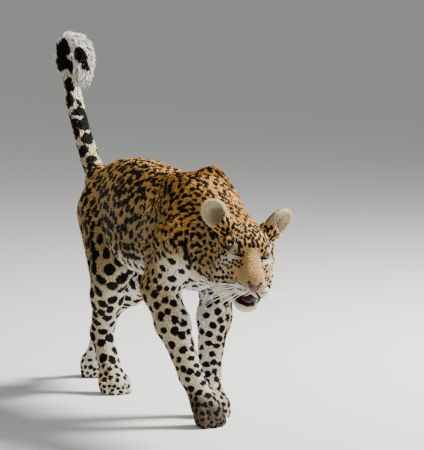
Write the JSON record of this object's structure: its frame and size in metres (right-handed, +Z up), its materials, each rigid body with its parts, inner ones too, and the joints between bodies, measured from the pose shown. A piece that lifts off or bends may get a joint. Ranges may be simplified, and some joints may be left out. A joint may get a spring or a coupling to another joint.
{
  "type": "walking leopard",
  "caption": "Life-size still model of a leopard walking with its head low and its tail raised and curled at the end, for museum-like display",
  "frame": {"origin": "on the ground, under the middle of the bounding box", "axes": "+Z up; the animal faces -Y and its left side is towards +X; metres"},
  "size_m": [0.3048, 1.4874, 0.9551],
  "materials": {
    "coat": "short fur, golden with black rosettes, white below",
    "eye": "wet and glossy"
  },
  "bodies": {
    "root": {"head": "coat", "lower_jaw": "coat", "right_ear": "coat", "left_ear": "coat", "neck": "coat", "trunk": "coat", "tail_base": "coat", "tail_middle": "coat", "tail_end": "coat", "right_fore_forearm": "coat", "right_fore_paw": "coat", "left_fore_forearm": "coat", "left_fore_paw": "coat", "right_hind_thigh": "coat", "right_hind_shank": "coat", "right_hind_paw": "coat", "left_hind_thigh": "coat", "left_hind_shank": "coat", "left_hind_paw": "coat", "right_eye": "eye", "left_eye": "eye"}
  },
  "joints": []
}
